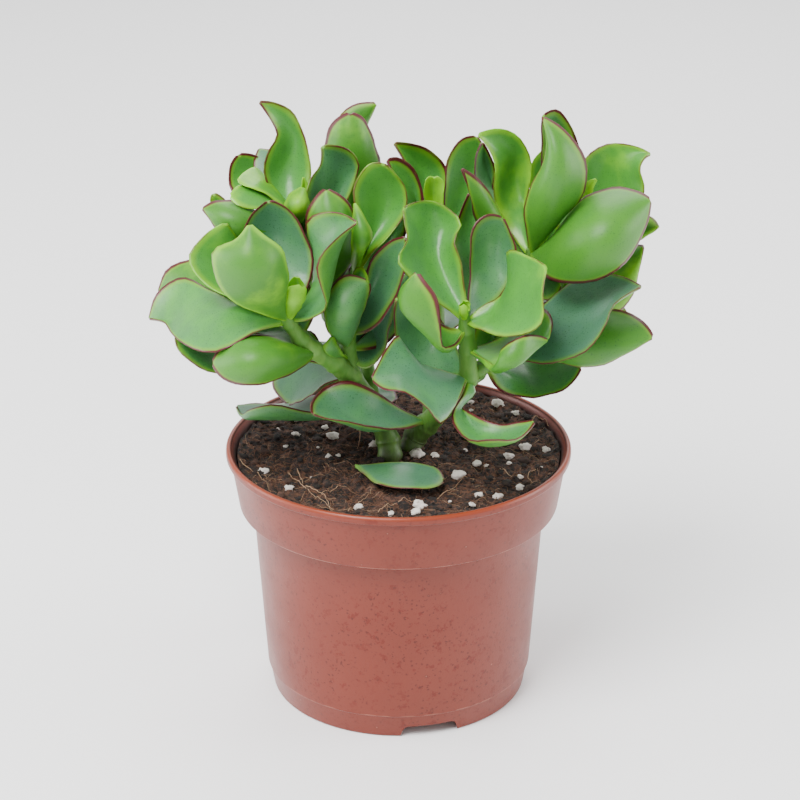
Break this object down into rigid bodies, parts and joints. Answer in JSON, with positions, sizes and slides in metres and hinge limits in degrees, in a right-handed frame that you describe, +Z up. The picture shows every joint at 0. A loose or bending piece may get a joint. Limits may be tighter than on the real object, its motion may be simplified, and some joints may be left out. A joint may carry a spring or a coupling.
{
  "type": "potted silver dollar jade",
  "caption": "Succulent with fleshy, round, waved blue-green leaves edged in purple, on short branched stems in a round terracotta-coloured plastic nursery pot of soil.",
  "frame": {"origin": "on the ground under the middle of the whole plant and pot, which is the pot's axis", "axes": "+Z up, -Y towards the front that the picture shows, +X to its right"},
  "size_m": [0.1738, 0.12, 0.2118],
  "materials": {
    "pot": "moulded terracotta-coloured plastic, softly shiny, with small darker specks",
    "soil": "loose dark potting mix with fibres and white grains",
    "leaf": "fleshy leaf with a pale waxy bloom, a soft shine and a purple edge",
    "fallen": "dull fleshy leaf with a yellow-green edge"
  },
  "bodies": {
    "root": {"pot": "pot", "soil": "soil", "plant_left": "leaf", "plant_right": "leaf", "fallen_leaf": "fallen"}
  },
  "joints": []
}
